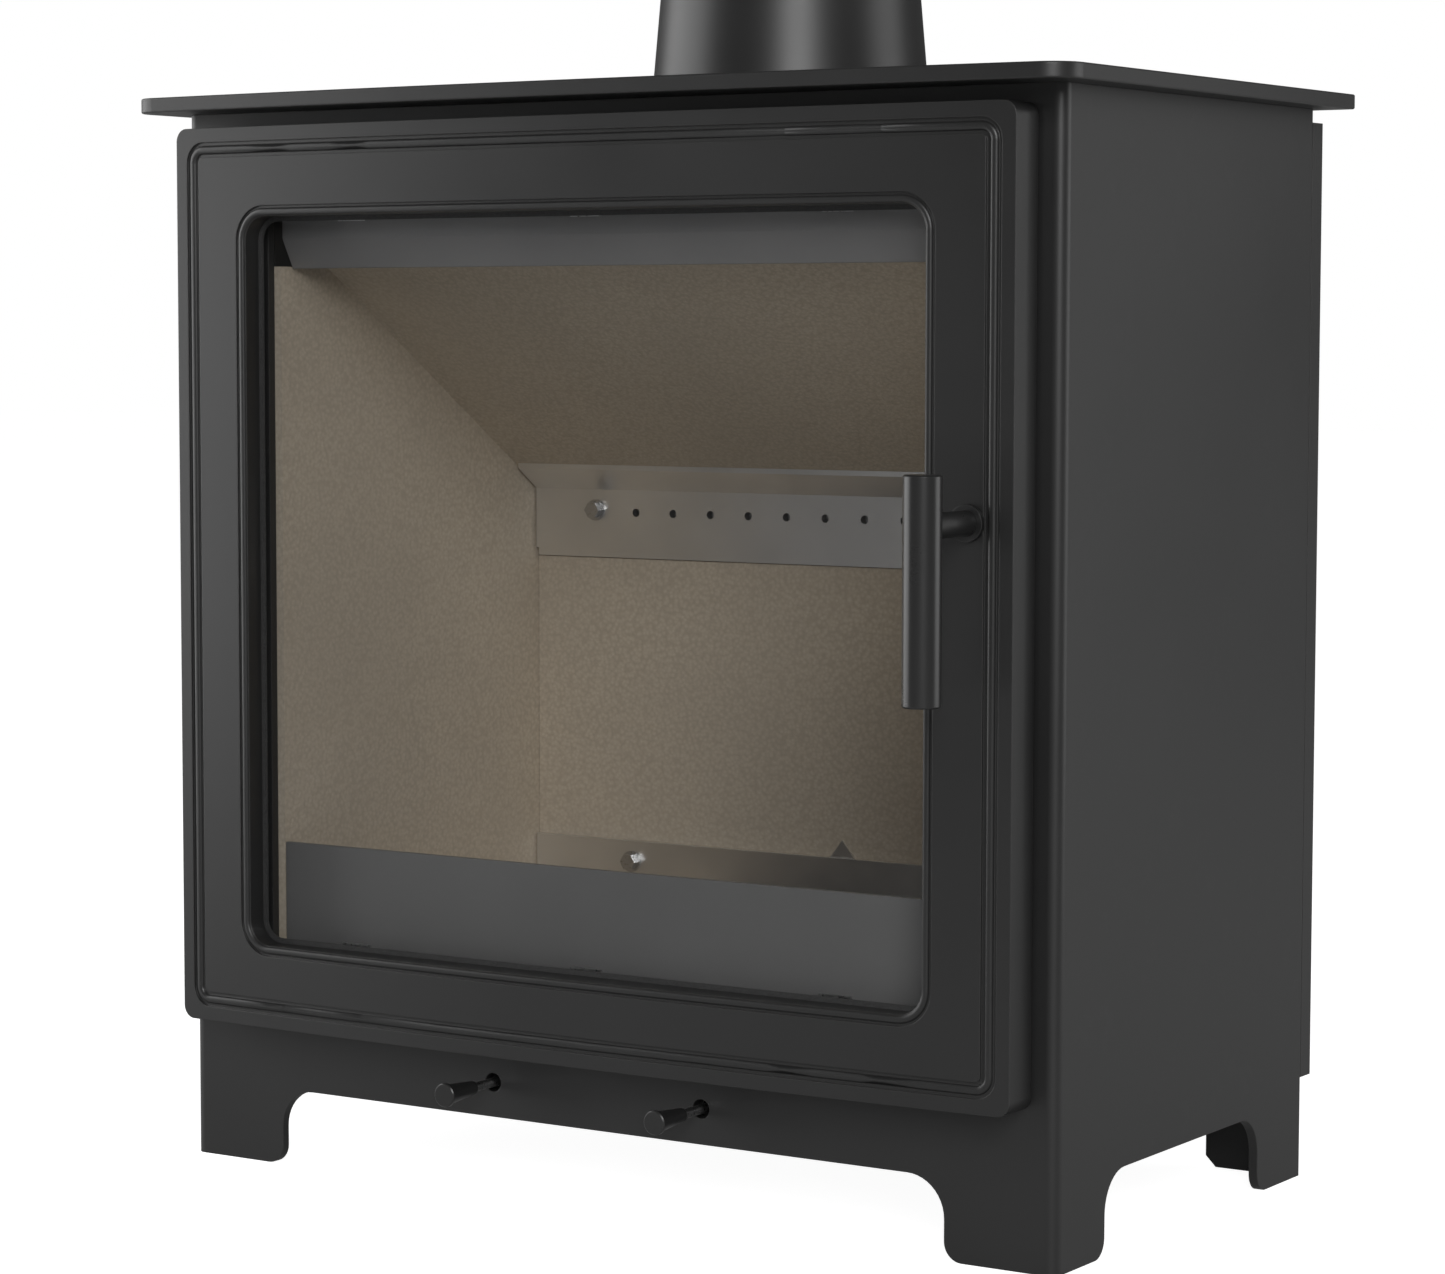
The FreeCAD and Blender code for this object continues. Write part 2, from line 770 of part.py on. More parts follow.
def make_side_lining(side, hand):
    inner, outer = S["brick_inner"], S["brick_inner"] + S["brick_thick"]
    start = inner if side > 0 else -outer

    def draw_brick(sketch):
        front, back = S["brick_front"], S["brick_back"]
        crest = baffle_z(S["baffle_front"])
        outline(sketch, [(depth(front), S["brick_bottom"], 0), (depth(back), S["brick_bottom"], 0),
                         (depth(back), baffle_z(back), 0), (depth(S["baffle_front"]), crest, 0),
                         (depth(front), crest, 0)])

    def draw_flare(sketch):
        wide, narrow, beyond = inner + S["brick_flare"], inner, inner - 1.0
        front, back = depth(S["brick_front"] - 0.5), depth(S["rear_brick_y"])
        outline(sketch, [(beyond * side, front, 0), (wide * side, front, 0), (narrow * side, back, 0),
                         (beyond * side, back, 0)])

    block_shape = slab("brick_block_" + hand, "YZ_Plane", start, S["brick_thick"], draw_brick)
    waste = slab("brick_waste_" + hand, "XY_Plane", S["brick_bottom"] - 1.0, dim(420.0), draw_flare)
    keep(cut("brick_" + hand, block_shape, waste), "brick_" + hand)
    near = S["liner_inner"] if side > 0 else -S["liner_inner"] - S["liner_thick"]
    liner = block("side_liner_" + hand, (near, depth(S["liner_front"]), S["brick_bottom"]),
                  (near + S["liner_thick"], depth(S["floor_back"]), S["body_height"] - 0.4))
    keep(liner, "side_liner_" + hand)
    floor_in, floor_out = S["floor_brick_inner"], S["rear_brick_half"]
    low = floor_in if side > 0 else -floor_out
    tile = block("floor_brick_" + hand, (low, floor_front(), S["brick_bottom"]),
                 (low + floor_out - floor_in, depth(S["rear_brick_y"] - 0.4), S["grate_top"]))
    keep(tile, "floor_brick_" + hand)


def make_rear_lining():
    half = S["rear_brick_half"]
    front, back = depth(S["rear_brick_y"]), depth(S["brick_back"])
    keep(block("brick_rear_lower", (-half, front, S["brick_bottom"]), (half, back, S["bar_box_bottom"] - 0.4)),
         "brick_rear_lower")
    keep(block("brick_rear_upper", (-half, front, S["bar_top"] + 0.4), (half, back, S["upper_brick_top"])),
         "brick_rear_upper")
    wide = S["rear_liner_half"]

    def draw_liner(sketch):
        rectangle(sketch, -wide, wide, S["brick_bottom"], S["body_height"] - 0.4)
        rectangle(sketch, -S["duct_half"] + 6.0, S["duct_half"] - 6.0, S["bar_box_bottom"] + 6.0,
                  S["bar_top"] - 6.0)

    liner = slab("rear_liner", "XZ_Plane", -depth(S["rear_liner_y"]), S["liner_thick"], draw_liner, True)
    keep(liner, "rear_liner")


def make_rear_air_duct():
    wall = S["duct_sheet"]
    half, near, far = S["duct_half"], depth(S["rear_liner_y"] + S["liner_thick"]), depth(S["duct_back"])

    def draw(sketch):
        outline(sketch, [(-half, near, 0), (-half + wall, near, 0), (-half + wall, far - wall, 0),
                         (half - wall, far - wall, 0), (half - wall, near, 0), (half, near, 0),
                         (half, far, 0), (-half, far, 0)])

    body = slab("rear_air_duct", "XY_Plane", S["duct_bottom"] - 3.0, S["duct_top"] - S["duct_bottom"] + 3.0,
                draw)
    return keep(body, "rear_air_duct")


def make_baffle_board():
    front, back, thick = S["baffle_front"], S["baffle_back"], S["baffle_depth"]

    def draw(sketch):
        outline(sketch, [(depth(front), baffle_z(front), 0), (depth(back), baffle_z(back), 0),
                         (depth(back), baffle_z(back) + thick, 0), (depth(front), baffle_z(front) + thick, 0)])

    body = slab("baffle_board", "YZ_Plane", -S["baffle_half"], S["baffle_half"] * 2, draw)
    return keep(body, "baffle_board")


def make_grate():
    body = block("grate", (-S["grate_half"], floor_front(), S["grate_top"] - S["grate_thick"]),
                 (S["grate_half"], depth(S["rear_brick_y"] - 0.4), S["grate_top"]))
    slots = new_sketch(body, "XY_Plane", S["grate_top"])
    start = depth(S["grate_first"])
    for side in (-1, 1):
        near, far = sorted((dim(4.0 * side), S["grate_slot_half"] * side), key=lambda item: item.value)
        rectangle(slots, near, far, start, start + S["grate_slot"], 3.0)
    row = pocket(body, slots, S["grate_thick"])
    rows = body.newObject("PartDesign::LinearPattern", "grate_rows")
    rows.Originals = [row]
    rows.Direction = (slots, ["V_Axis"])
    rows.Occurrences = 9
    bind(rows, "Length", S["grate_pitch"] * 8)
    body.Tip = rows
    return keep(body, "grate")


def make_log_guard():
    front, half = S["guard_front"], S["guard_half"]
    return keep(block("log_guard", (-half, depth(front), S["brick_bottom"]),
                      (half, depth(front + S["guard_thick"]), S["guard_top"])), "log_guard")


def make_air_wash_deflector():
    front, y, wall, half = S["wash_front"], S["wash_y"], S["wash_sheet"], S["wash_half"]
    low, bend, top = S["wash_bottom"], S["wash_bend"], S["wash_top"]

    def draw(sketch):
        outline(sketch, [(depth(front), top, 0), (depth(front), bend, 0), (depth(y), low, 0),
                         (depth(y + wall), low + wall / 2, 0), (depth(front + wall), bend + wall / 2, 0),
                         (depth(front + wall), top, 0)])

    return keep(slab("air_wash_deflector", "YZ_Plane", -half, half * 2, draw), "air_wash_deflector")


def make_secondary_air_bar():
    body = new_body("secondary_air_bar")
    section = new_sketch(body, "YZ_Plane", -S["bar_half"])
    y, wall, lip, rise = S["bar_y"], S["bar_sheet"], S["bar_lip"], S["baffle_rise"]
    top, low, back = S["bar_top"], S["bar_box_bottom"], S["brick_back"]
    outline(section, [(depth(y - lip), top + rise * lip, 0), (depth(y), top, 0), (depth(y), S["bar_bottom"], 0),
                      (depth(y + wall), S["bar_bottom"], 0), (depth(y + wall), low, 0), (depth(back), low, 0),
                      (depth(back), top, 0), (depth(back - 2.0), top, 0), (depth(back - 2.0), low + 2.0, 0),
                      (depth(y + wall + 2.0), low + 2.0, 0), (depth(y + wall + 2.0), top, 0),
                      (depth(y), top + wall * 1.15, 0), (depth(y - lip), top + rise * lip + wall * 1.15, 0)])
    pad(body, section, S["bar_half"] * 2)
    holes = new_sketch(body, "XZ_Plane", -depth(y))
    for index in range(-5, 6):
        circle(holes, S["bar_hole_pitch"] * index, S["bar_hole_z"], S["bar_hole"])
    pocket(body, holes, wall + 2.0)
    return keep(body, "secondary_air_bar")


def make_wall_bolts(name, x, z, y):
    """Pair of hexagon bolts with washers whose heads face the door."""
    bolts = []
    for side in (-1, 1):
        spot = (x * side, depth(y - 1.2), z)
        washer = cylinder("%s_washer_%d" % (name, side + 1), "Y", 6.2, spot, 1.2)
        head = hexagon("%s_head_%d" % (name, side + 1), "Y", 8.6, (x * side, depth(y - 5.2), z), 4.0)
        bolts.append(fuse("%s_bolt_%d" % (name, side + 1), [washer, head]))
    return keep(gather(name, bolts), name)


def make_rear_brick_retainer():
    front, back, far = S["bar_y"], S["bar_y"] + S["bar_sheet"], S["tab_back"]
    plate = block("retainer_plate", (-S["bar_half"], depth(front), S["retainer_bottom"]),
                  (S["bar_half"], depth(back), S["retainer_top"]))
    drop = S["retainer_top"] - 12.0

    def draw(sketch):
        x, half, peak = S["tab_x"], S["tab_half"], S["tab_top"]
        outline(sketch, [(x - half * 2, drop, 0), (x + half * 2, drop, 0), (x + half, S["retainer_top"], 0),
                         (x, peak, 0), (x - half, S["retainer_top"], 0)])

    tab = slab("retainer_tab", "XZ_Plane", -depth(back), far - back, draw, True)
    return keep(fuse("rear_brick_retainer", [plate, tab]), "rear_brick_retainer")


# Heat shield


def make_heat_shield():
    half, near, far, wall = S["shield_half"], depth(S["shield_front"]), depth(S["shield_back"]), S["shield_sheet"]

    def draw(sketch):
        outline(sketch, [(-half, near, 0), (-half + wall, near, 0), (-half + wall, far - wall, 0),
                         (half - wall, far - wall, 0), (half - wall, near, 0), (half, near, 0),
                         (half, far, 2.0), (-half, far, 2.0)])

    body = slab("heat_shield", "XY_Plane", S["shield_bottom"], S["shield_top"] - S["shield_bottom"], draw)
    keep(body, "heat_shield")
    spacers, screws = [], []
    for i, (side, z) in enumerate(((-1, "spacer_low"), (1, "spacer_low"), (-1, "spacer_high"),
                                   (1, "spacer_high"))):
        x, back = S["spacer_x"] * side, S["body_depth"]
        gap = S["shield_back"] - S["shield_sheet"] - back
        spacers.append(cylinder("spacer_%d" % i, "Y", S["spacer_radius"], (x, depth(back), S[z]), gap))
        screws.append(hexagon("shield_screw_%d" % i, "Y", 9.0, (x, far, S[z]), S["screw_head"]))
    keep(gather("shield_spacers", spacers), "shield_spacers")
    keep(gather("shield_screws", screws), "shield_screws")


# Door


def bow_block(name, shift):
    """Block behind the door's bowed front surface, moved forward by shift."""
    body = new_body(name)
    plan = new_sketch(body, "XY_Plane", S["door_bottom"] - 5.0)
    bowed(plan, S["door_half"], depth(-S["door_back"]), depth(-S["door_edge"] - shift), S["door_bow"])
    pad(body, plan, S["door_top"] - S["door_bottom"] + 10.0)
    return body


def ring(name, outer, inner, front=45.0, back=0.0):
    """Frame-shaped prism across the door; outer and inner are (half width, low, high, corner)."""
    def draw(sketch):
        for half, low, high, radius in (outer, inner):
            rectangle(sketch, -half, half, low, high, radius)

    return slab(name, "XZ_Plane", -depth(-dim(back)), dim(front) - back, draw)


def inset(shape, amount):
    half, low, high, radius = shape
    return (half - amount, low + amount, high - amount, radius - amount)


def front_face(shape):
    """The bowed face nearest the front."""
    bowed_faces = [item for item in shape.Faces
                   if isinstance(item.Surface, Part.Cylinder) and item.Surface.Radius > 1000]
    return min(bowed_faces, key=lambda item: item.CenterOfMass.y)


def soften(name, base, chosen, radius):
    """Round the chosen edges of one object."""
    numbers = [i for i, edge in enumerate(base.Shape.Edges, start=1)
               if any(edge.isSame(other) for other in chosen)]
    rounded = doc.addObject("Part::Fillet", name)
    rounded.Base = base
    rounded.Edges = [(i, radius, radius) for i in numbers]
    return rounded


def make_bead(name, zone, width, inset_by):
    """Raised half-round moulding that follows the bowed front."""
    line = inset(zone, inset_by)
    prism = ring(name + "_prism", line, inset(line, width))
    tall = common(name + "_tall", prism, bow_block(name + "_crown", S["bead_rise"]))
    strip = cut(name + "_strip", tall, bow_block(name + "_root", -S["bead_sink"] - 1.0))
    doc.recompute()
    return soften(name, strip, front_face(strip.Shape).Edges, width.value * 0.42)


def make_door_frame():
    outer = (S["door_half"], S["door_bottom"], S["door_top"], S["door_corner"])
    window = (S["glass_half"], S["glass_low"], S["glass_high"], S["glass_corner"])
    slab_shape = common("door_slab", ring("door_outline", outer, window, 45.0, S["door_back"]),
                        bow_block("door_bow_block", 0.0))
    zone = (S["bead_outer_half"], S["bead_outer_low"], S["bead_outer_high"], S["bead_corner"])
    lip = inset(window, -S["inner_zone"])
    trenches = []
    for name, rim, width in (("outer_trench", zone, S["bead_zone"]), ("inner_trench", lip, S["inner_zone"] + 2.0)):
        prism = ring(name + "_prism", rim, inset(rim, width))
        trenches.append(cut(name, prism, bow_block(name + "_floor", -S["bead_sink"])))
    carved = cut("door_carved", slab_shape, fuse("door_trenches", trenches))
    side = (S["bead_zone"] - S["bead_width"]) / 2
    beads = [make_bead("outer_bead", zone, S["bead_width"], side),
             make_bead("inner_bead", lip, S["inner_zone"] - S["inner_groove"] - S["inner_step"],
                       S["inner_groove"])]
    moulded = join("door_moulded", join("door_ridged", carved, beads[0]), beads[1])
    return keep(cut("door_frame", moulded, make_door_cuts()), "door_frame")


def make_door_cuts():
    """Everything removed from the back of the door, joined into one tool."""
    far = 1.0
    rebate = slab("glass_rebate", "XZ_Plane", -depth(-dim(0.0)), S["rebate_depth"],
                  lambda sketch: rectangle(sketch, -S["rebate_half"], S["rebate_half"], S["rebate_low"],
                                           S["rebate_high"], 10.0))
    reach = S["channel_half"]
    outer = (S["rope_x"] + reach, S["rope_low"] - reach, S["rope_high"] + reach, S["rope_bend"] + reach)
    channel = ring("rope_channel", outer, inset(outer, reach * 2), S["channel_depth"], 0.0)
    tools = [rebate, channel]
    for name in ("hinge_low", "hinge_high"):
        z, half = S[name], S["pocket_half"]
        tools.append(block("pocket_" + name, (-S["door_half"] - 2.0, depth(-S["pocket_front"]), z - half),
                           (S["pocket_right"], depth(0.0), z + half)))
        tools.append(cylinder("pin_hole_" + name, "Z", S["pin_radius"] + 0.05,
                              (S["pivot_x"], depth(-S["pivot_y"]), z - S["pin_half"]), S["pin_half"] * 2))
    tools.append(cylinder("spindle_hole", "Y", S["spindle_bore"], (S["stem_x"], depth(-40.0), S["stem_z"]),
                          40.0 + far))
    for low, x in clip_places():
        z = S["rebate_low"] - 6.5 if low else S["rebate_high"] + 6.5
        tools.append(cylinder("clip_hole_%d_%d" % (low, round(x.value)), "Y", S["clip_screw"] + 0.05,
                              (x, depth(-11.0), z), 11.0))
    return fuse("door_cuts", tools)


def clip_places():
    return [(low, S["clip_x"] * column) for low in (True, False) for column in (-1, 0, 1)]


def make_glass():
    room = S["glass_margin"]
    shape = (S["rebate_half"] - room, S["rebate_low"] + room, S["rebate_high"] - room, 8.0)
    half, low, high, corner = shape
    keep(slab("door_glass", "XZ_Plane", -depth(-S["glass_front"] + S["glass_thick"]), S["glass_thick"],
              lambda sketch: rectangle(sketch, -half, half, low, high, corner)), "door_glass")
    inner = (S["gasket_inner"], S["gasket_low"], S["gasket_high"], 10.0)
    keep(ring("glass_gasket", shape, inner, S["rebate_depth"], S["glass_front"]), "glass_gasket")


def make_glass_clips():
    """Z-shaped spring clips that hold the pane against its gasket, with their screws."""
    clips, screws = [], []
    pane, face, thick = S["glass_front"] - S["glass_thick"], S["door_back"], S["clip_thick"]
    for low, x in clip_places():
        edge, way = (S["rebate_low"], -1) if low else (S["rebate_high"], 1)
        tip, heel = edge - S["clip_reach"] * way, edge + S["clip_base"] * way
        step = edge - 1.5 * way
        stub = edge - (1.5 + thick.value) * way

        def draw(sketch):
            outline(sketch, [(depth(-pane), tip, 0), (depth(-pane), step, 0),
                             (depth(-face), step, 0), (depth(-face), heel, 0),
                             (depth(-face) + thick, heel, 0), (depth(-face) + thick, stub, 0),
                             (depth(-pane) + thick, stub, 0), (depth(-pane) + thick, tip, 0)])

        label = "%d_%d" % (low, round(x.value))
        clip = slab("clip_" + label, "YZ_Plane", x - S["clip_half"], S["clip_half"] * 2, draw)
        spot = edge + 6.5 * way
        hole = cylinder("clip_drill_" + label, "Y", S["clip_screw"] + 0.2, (x, depth(-4.0), spot), 6.0)
        clips.append(cut("clip_plate_" + label, clip, hole))
        shank = cylinder("clip_shank_" + label, "Y", S["clip_screw"], (x, depth(-10.5), spot), 9.5)
        head = cylinder("clip_head_" + label, "Y", 3.6, (x, depth(-face) + thick, spot), 0.7)
        screws.append(fuse("clip_screw_" + label, [shank, head]))
    keep(gather("glass_clips", clips), "glass_clips")
    keep(gather("glass_clip_screws", screws), "glass_clip_screws")


def make_door_rope():
    body = new_body("door_rope")
    path = new_sketch(body, "XZ_Plane", -depth(-S["rope_centre"]))
    rectangle(path, -S["rope_x"], S["rope_x"], S["rope_low"], S["rope_high"], S["rope_bend"])
    section = new_sketch(body, "XY_Plane", (S["rope_low"] + S["rope_high"]) / 2)
    circle(section, S["rope_x"], depth(-S["rope_centre"]), S["rope_radius"])
    doc.recompute()
    item = body.newObject("PartDesign::AdditivePipe", "door_rope_Pipe")
    item.Profile = section
    item.Spine = (path, [])
    body.Tip = item
    return keep(body, "door_rope")


def make_hinges():
    brackets, pins = [], []
    x, y = S["pivot_x"], depth(-S["pivot_y"])
    for name in ("hinge_low", "hinge_high"):
        z, half = S[name], S["knuckle_half"]
        barrel = cylinder(name + "_barrel", "Z", S["knuckle_radius"], (x, y, z - half), half * 2)
        arm = block(name + "_arm", (x - S["knuckle_arm"], y, z - half), (x + S["knuckle_arm"], depth(0.0), z + half))
        bore = cylinder(name + "_bore", "Z", S["pin_bore"], (x, y, z - half - 1.0), half * 2 + 2.0)
        brackets.append(cut(name + "_bracket", fuse(name + "_solid", [barrel, arm]), bore))
        pins.append(cylinder(name + "_pin", "Z", S["pin_radius"], (x, y, z - S["pin_half"]), S["pin_half"] * 2))
    keep(gather("hinge_brackets", brackets), "hinge_brackets")
    keep(gather("hinge_pins", pins), "hinge_pins")


# Handle and latch


def make_handle():
    grip = doc.addObject("Part::Cylinder", "grip_rod")
    bind(grip, "Radius", S["grip_radius"])
    bind(grip, "Height", S["grip_top"] - S["grip_bottom"])
    place(grip, "Z", (S["stem_x"], depth(-S["grip_y"]), S["grip_bottom"]))
    doc.recompute()
    rounded = doc.addObject("Part::Chamfer", "handle_grip")
    rounded.Base = grip
    ends = [i for i, edge in enumerate(grip.Shape.Edges, start=1) if isinstance(edge.Curve, Part.Circle)]
    rounded.Edges = [(i, S["grip_edge"].value, S["grip_edge"].value) for i in ends]
    keep(rounded, "handle_grip")
    x, z = S["stem_x"], S["stem_z"]
    front, collar, tongue, end = -S["grip_y"], -S["washer_front"] - 0.3, S["tongue_front"], S["thread_end"]
    steps = [("neck", S["stem_radius"], front, collar), ("spindle", S["spindle_radius"], collar, tongue),
             ("thread", S["thread_radius"], tongue, end)]
    rods = [cylinder("stem_" + name, "Y", radius, (x, depth(start), z), stop - start)
            for name, radius, start, stop in steps]
    saddle = cylinder("stem_saddle", "Z", S["grip_radius"] + 0.05,
                      (x, depth(-S["grip_y"]), S["grip_bottom"]), S["grip_top"] - S["grip_bottom"])
    keep(cut("handle_stem", fuse("stem_rods", rods), saddle), "handle_stem")
    disc = cylinder("washer_disc", "Y", S["washer_radius"], (x, depth(-S["washer_front"]), z),
                    S["washer_front"] - S["washer_back"])
    eye = cylinder("washer_eye", "Y", S["spindle_bore"], (x, depth(-S["washer_front"] - 1.0), z), 6.0)
    keep(cut("handle_washer", disc, eye), "handle_washer")


def make_latch():
    x, z, half = S["stem_x"], S["stem_z"], S["tongue_half"]

    def draw(sketch):
        outline(sketch, [(x - half, z - S["tongue_low"], 2.0), (x + half, z - S["tongue_low"], 2.0),
                         (x + half, z + S["tongue_high"], 4.0), (x - half, z + S["tongue_high"], 4.0)])
        circle(sketch, x, z, S["thread_radius"] + 0.1)

    keep(slab("latch_tongue", "XZ_Plane", -depth(S["tongue_front"]), S["tongue_back"] - S["tongue_front"],
              draw, True), "latch_tongue")
    nut = hexagon("nut_body", "Y", S["nut_flats"], (x, depth(S["tongue_back"]), z), 4.5)
    eye = cylinder("nut_eye", "Y", S["thread_radius"] + 0.1, (x, depth(S["tongue_back"] - 1.0), z), 7.0)
    keep(cut("latch_nut", nut, eye), "latch_nut")
    near = x + S["slot_half"] + S["keeper_gap"]
    keep(block("latch_keeper", (near, depth(S["sheet"]), z - 14.0),
               (near + 16.0, depth(S["sheet"] + S["keeper_thick"]), z + 14.0)), "latch_keeper")


# Air controls


def make_control(side, hand):
    x, z = S["control_x"] * side, S["control_z"]
    face, rim, waist = S["knob_face"], S["knob_rim"], S["knob_waist"]
    profile = [(-face, 0.0), (-face, S["knob_radius"] - 0.6), (0.6 - face, S["knob_radius"]),
               (rim - face, S["knob_radius"]), (rim + 1.0 - face, waist), (-S["knob_neck"], S["knob_tail"]),
               (-S["knob_neck"], 0.0)]
    keep(turned(hand + "_knob", x, z, profile), hand + "_knob")
    start, stop = -S["knob_neck"], S["rod_end"]
    keep(cylinder(hand + "_rod", "Y", S["rod_radius"], (x, depth(start), z), stop - start), hand + "_rod")
    floor = S["box_bottom"] + S["box_sheet"] + S["slide_lift"]
    plate = block(hand + "_plate", (x - S["slide_half"], depth(S["slide_front"]), floor),
                  (x + S["slide_half"], depth(S["slide_back"]), floor + S["slide_thick"]))
    tab = block(hand + "_tab", (x - 10.0, depth(stop), floor),
                (x + 10.0, depth(stop) + S["slide_thick"], S["slide_tab_top"]))
    keep(fuse(hand + "_slide", [plate, tab]), hand + "_slide")


def check_and_export():
    doc.recompute()
    os.makedirs("parts", exist_ok=True)
    for item in doc.Objects:
        if "Invalid" in item.State or "Error" in item.State:
            raise RuntimeError("%s is in state %s" % (item.Label, item.State))
    for item in NODES:
        shape = item.Shape
        if shape.isNull() or not shape.isValid() or not shape.Solids:
            raise RuntimeError("%s has no valid solid" % item.Label)
        shape.exportStep(os.path.join("parts", item.Label + ".step"))


make_body_wrap()
make_rear_panel()
make_top_plate()
make_flue_collar()
make_collar_flange()
make_collar_bolts()
make_floor_plate()
make_air_box()
make_slide_guides(-1, "primary_slide_guides")
make_slide_guides(1, "secondary_slide_guides")
make_side_lining(-1, "left")
make_side_lining(1, "right")
make_rear_lining()
make_rear_air_duct()
make_baffle_board()
make_grate()
make_log_guard()
make_air_wash_deflector()
make_secondary_air_bar()
make_wall_bolts("bar_bolts", S["bar_bolt_x"], S["bar_bolt_z"], S["bar_y"])
make_rear_brick_retainer()
make_wall_bolts("retainer_bolts", S["retainer_bolt_x"], S["retainer_bolt_z"], S["bar_y"])
make_heat_shield()
make_door_frame()
make_glass()
make_glass_clips()
make_door_rope()
make_hinges()
make_handle()
make_latch()
make_control(-1, "primary")
make_control(1, "secondary")
check_and_export()
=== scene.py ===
import json
import math

import bmesh
import bpy
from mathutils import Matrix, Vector


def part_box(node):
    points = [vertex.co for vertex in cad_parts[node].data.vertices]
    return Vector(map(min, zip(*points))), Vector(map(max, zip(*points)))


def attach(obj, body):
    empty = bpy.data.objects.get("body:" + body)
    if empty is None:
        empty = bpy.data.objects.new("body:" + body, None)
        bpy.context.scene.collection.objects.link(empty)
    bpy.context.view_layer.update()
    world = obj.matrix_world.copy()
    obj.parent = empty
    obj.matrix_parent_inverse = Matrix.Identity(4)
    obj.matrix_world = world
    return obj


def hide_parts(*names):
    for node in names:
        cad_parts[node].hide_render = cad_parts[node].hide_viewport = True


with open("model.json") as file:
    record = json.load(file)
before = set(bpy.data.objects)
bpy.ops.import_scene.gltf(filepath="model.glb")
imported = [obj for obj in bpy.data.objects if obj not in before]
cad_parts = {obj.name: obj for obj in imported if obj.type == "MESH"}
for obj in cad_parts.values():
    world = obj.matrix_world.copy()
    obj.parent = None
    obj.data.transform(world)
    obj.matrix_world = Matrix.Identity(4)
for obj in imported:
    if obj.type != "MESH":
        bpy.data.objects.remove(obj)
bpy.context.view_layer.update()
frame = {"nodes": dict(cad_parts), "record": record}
SCENE = bpy.context.scene

# ---------------------------------------------------------------- sizes in metres

FACE_Y = Vector(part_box("body_wrap")[0]).y

ROPE_RADIUS = 0.0038
ROPE_BEND = 0.016
ROPE_STEP = 0.0011
CORE_INSET = 0.0013
CORE_SIDES = 10
STRAND_RADIUS = 0.00095
STRAND_SIDES = 6
STRANDS_EACH_WAY = 5
STRAND_TURNS = 150
STRAND_INSET = 0.00034
WEAVE_DEPTH = 0.00032
LEAST_ARC_STEPS = 8

# ---------------------------------------------------------------- studio

FLOOR_SIZE = 30.0
FLOOR_COLOUR = (0.5, 0.5, 0.5)
FLOOR_GLOW = 0.1
FLOOR_SEEN_GLOW = 0.95
AMBIENT = 0.1
AIM = (0.0, 0.0, 0.33)
WHITE = (1.0, 1.0, 1.0, 1.0)

# name, azimuth, distance, height, width, tall, glow
SOFTBOXES = (
    ("left_softbox", -72.0, 2.2, 0.62, 2.2, 2.4, 3.0),
    ("camera_softbox", 38.0, 5.0, 2.5, 2.2, 2.6, 10.4),
    ("right_softbox", 122.0, 2.6, 0.7, 1.5, 2.4, 2.0),
)

CAMERA_LENS = 99.37
CAMERA_SENSOR = 36.0
CAMERA_SHIFT = (0.0566, 0.0114)
CAMERA_PLACE = (1.15695, FACE_Y - 1.69458, 0.45818)
CAMERA_TILT_DOWN = 0.0811
CAMERA_TURN = 0.5875
CAMERA_FAR = 50.0


# ---------------------------------------------------------------- material helpers


def new_material(name):
    material = bpy.data.materials.new(name)
    material.use_nodes = True
    tree = material.node_tree
    shader = tree.nodes["Principled BSDF"]
    return material, tree, shader


def node(tree, kind, **values):
    item = tree.nodes.new(kind)
    for key, value in values.items():
        if key in item.inputs:
            item.inputs[key].default_value = value
        else:
            setattr(item, key, value)
    return item


def object_position(tree):
    return tree.nodes.new("ShaderNodeTexCoord").outputs["Object"]


def noise(tree, scale, detail, roughness=0.5):
    item = node(tree, "ShaderNodeTexNoise", Scale=scale, Detail=detail, Roughness=roughness)
    tree.links.new(object_position(tree), item.inputs["Vector"])
    return item.outputs["Fac"]


def remap(tree, source, low, high, from_low=0.3, from_high=0.7):
    """Map a value from one range to another; the default input range suits a noise texture."""
    item = node(tree, "ShaderNodeMapRange")
    item.inputs["From Min"].default_value = from_low
    item.inputs["From Max"].default_value = from_high
    item.inputs["To Min"].default_value = low
    item.inputs["To Max"].default_value = high
    tree.links.new(source, item.inputs["Value"])
    return item.outputs["Result"]


def grey_colour(level):
    return (level, level, level)


def mix_colour(tree, factor, first, second):
    """Blend two colours, each a tuple or an output socket."""
    item = node(tree, "ShaderNodeMix", data_type="RGBA")
    for socket, value in ((item.inputs[6], first), (item.inputs[7], second)):
        if isinstance(value, tuple):
            socket.default_value = value + (1.0,)
        else:
            tree.links.new(value, socket)
    tree.links.new(factor, item.inputs[0])
    return item.outputs[2]


def bump(tree, shader, source, strength, distance, before=None):
    item = node(tree, "ShaderNodeBump", Strength=strength, Distance=distance)
    tree.links.new(source, item.inputs["Height"])
    if before is not None:
        tree.links.new(before, item.inputs["Normal"])
    tree.links.new(item.outputs["Normal"], shader.inputs["Normal"])


def soft_edges(tree, radius):
    """Normal rounded over sharp edges, and a mask that is 1 along those edges."""
    bevel = node(tree, "ShaderNodeBevel", samples=4, Radius=radius)
    geometry = tree.nodes.new("ShaderNodeNewGeometry")
    dot = node(tree, "ShaderNodeVectorMath", operation="DOT_PRODUCT")
    tree.links.new(bevel.outputs["Normal"], dot.inputs[0])
    tree.links.new(geometry.outputs["Normal"], dot.inputs[1])
    return bevel.outputs["Normal"], remap(tree, dot.outputs["Value"], 1.0, 0.0, 0.8, 0.98)


# ---------------------------------------------------------------- materials


